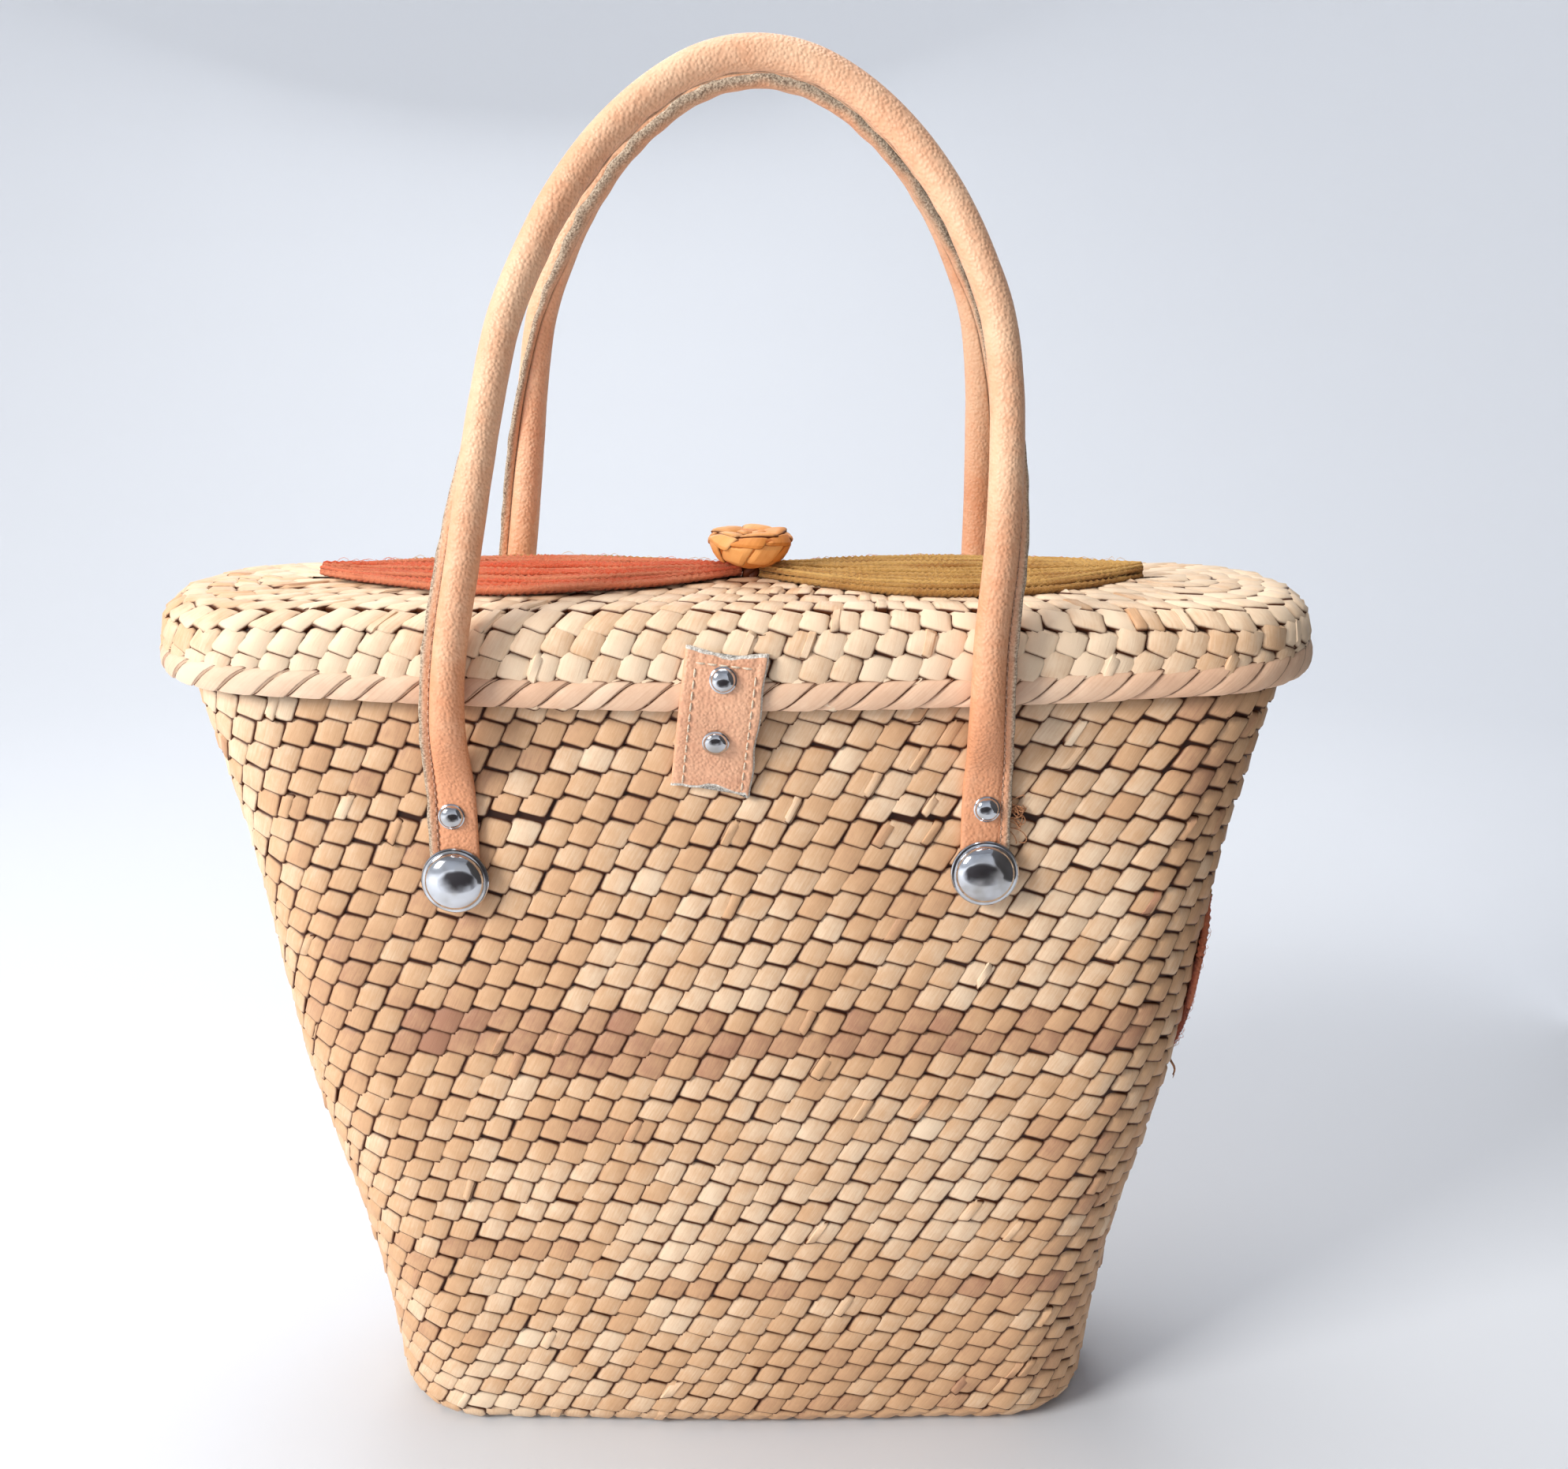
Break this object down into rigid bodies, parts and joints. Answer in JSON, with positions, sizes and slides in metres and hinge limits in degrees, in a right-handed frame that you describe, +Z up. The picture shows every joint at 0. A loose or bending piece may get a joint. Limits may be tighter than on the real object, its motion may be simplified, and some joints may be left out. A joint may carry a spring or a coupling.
{
  "type": "straw basket bag",
  "caption": "Tapered plaited palm basket bag with a riveted lid, rolled leather handles, domed studs, a plaited button and yarn petals.",
  "frame": {"origin": "centre of the flat base, on the surface that the bag stands on", "axes": "+Z up, -Y the face with the leather tab, +X to the right seen from that face"},
  "size_m": [0.42, 0.1292, 0.5127],
  "materials": {
    "palm": "matt plaited palm straw",
    "palm_wrap": "matt wrapped palm strip",
    "leather": "natural tan, pebbled grain",
    "tab_leather": "natural tan with raw pale edges",
    "chrome": "polished",
    "amber_palm": "satin golden-brown palm",
    "orange_yarn": "matt wool yarn",
    "mustard_yarn": "matt wool yarn"
  },
  "bodies": {
    "root": {"basket_body": "palm", "lid": "palm", "lid_rim_binding": "palm_wrap", "handle_front": "leather", "handle_back": "leather", "stud_front_left": "chrome", "stud_front_right": "chrome", "stud_back_left": "chrome", "stud_back_right": "chrome", "rivet_front_left": "chrome", "rivet_front_right": "chrome", "rivet_back_left": "chrome", "rivet_back_right": "chrome", "lid_tab": "tab_leather", "tab_rivet_upper": "chrome", "tab_rivet_lower": "chrome", "plaited_button": "amber_palm", "button_stem": "amber_palm", "yarn_petal_left": "orange_yarn", "yarn_outline_left": "mustard_yarn", "yarn_petal_right": "mustard_yarn", "yarn_outline_right": "orange_yarn", "yarn_petal_end": "orange_yarn", "yarn_outline_end": "mustard_yarn"}
  },
  "joints": []
}
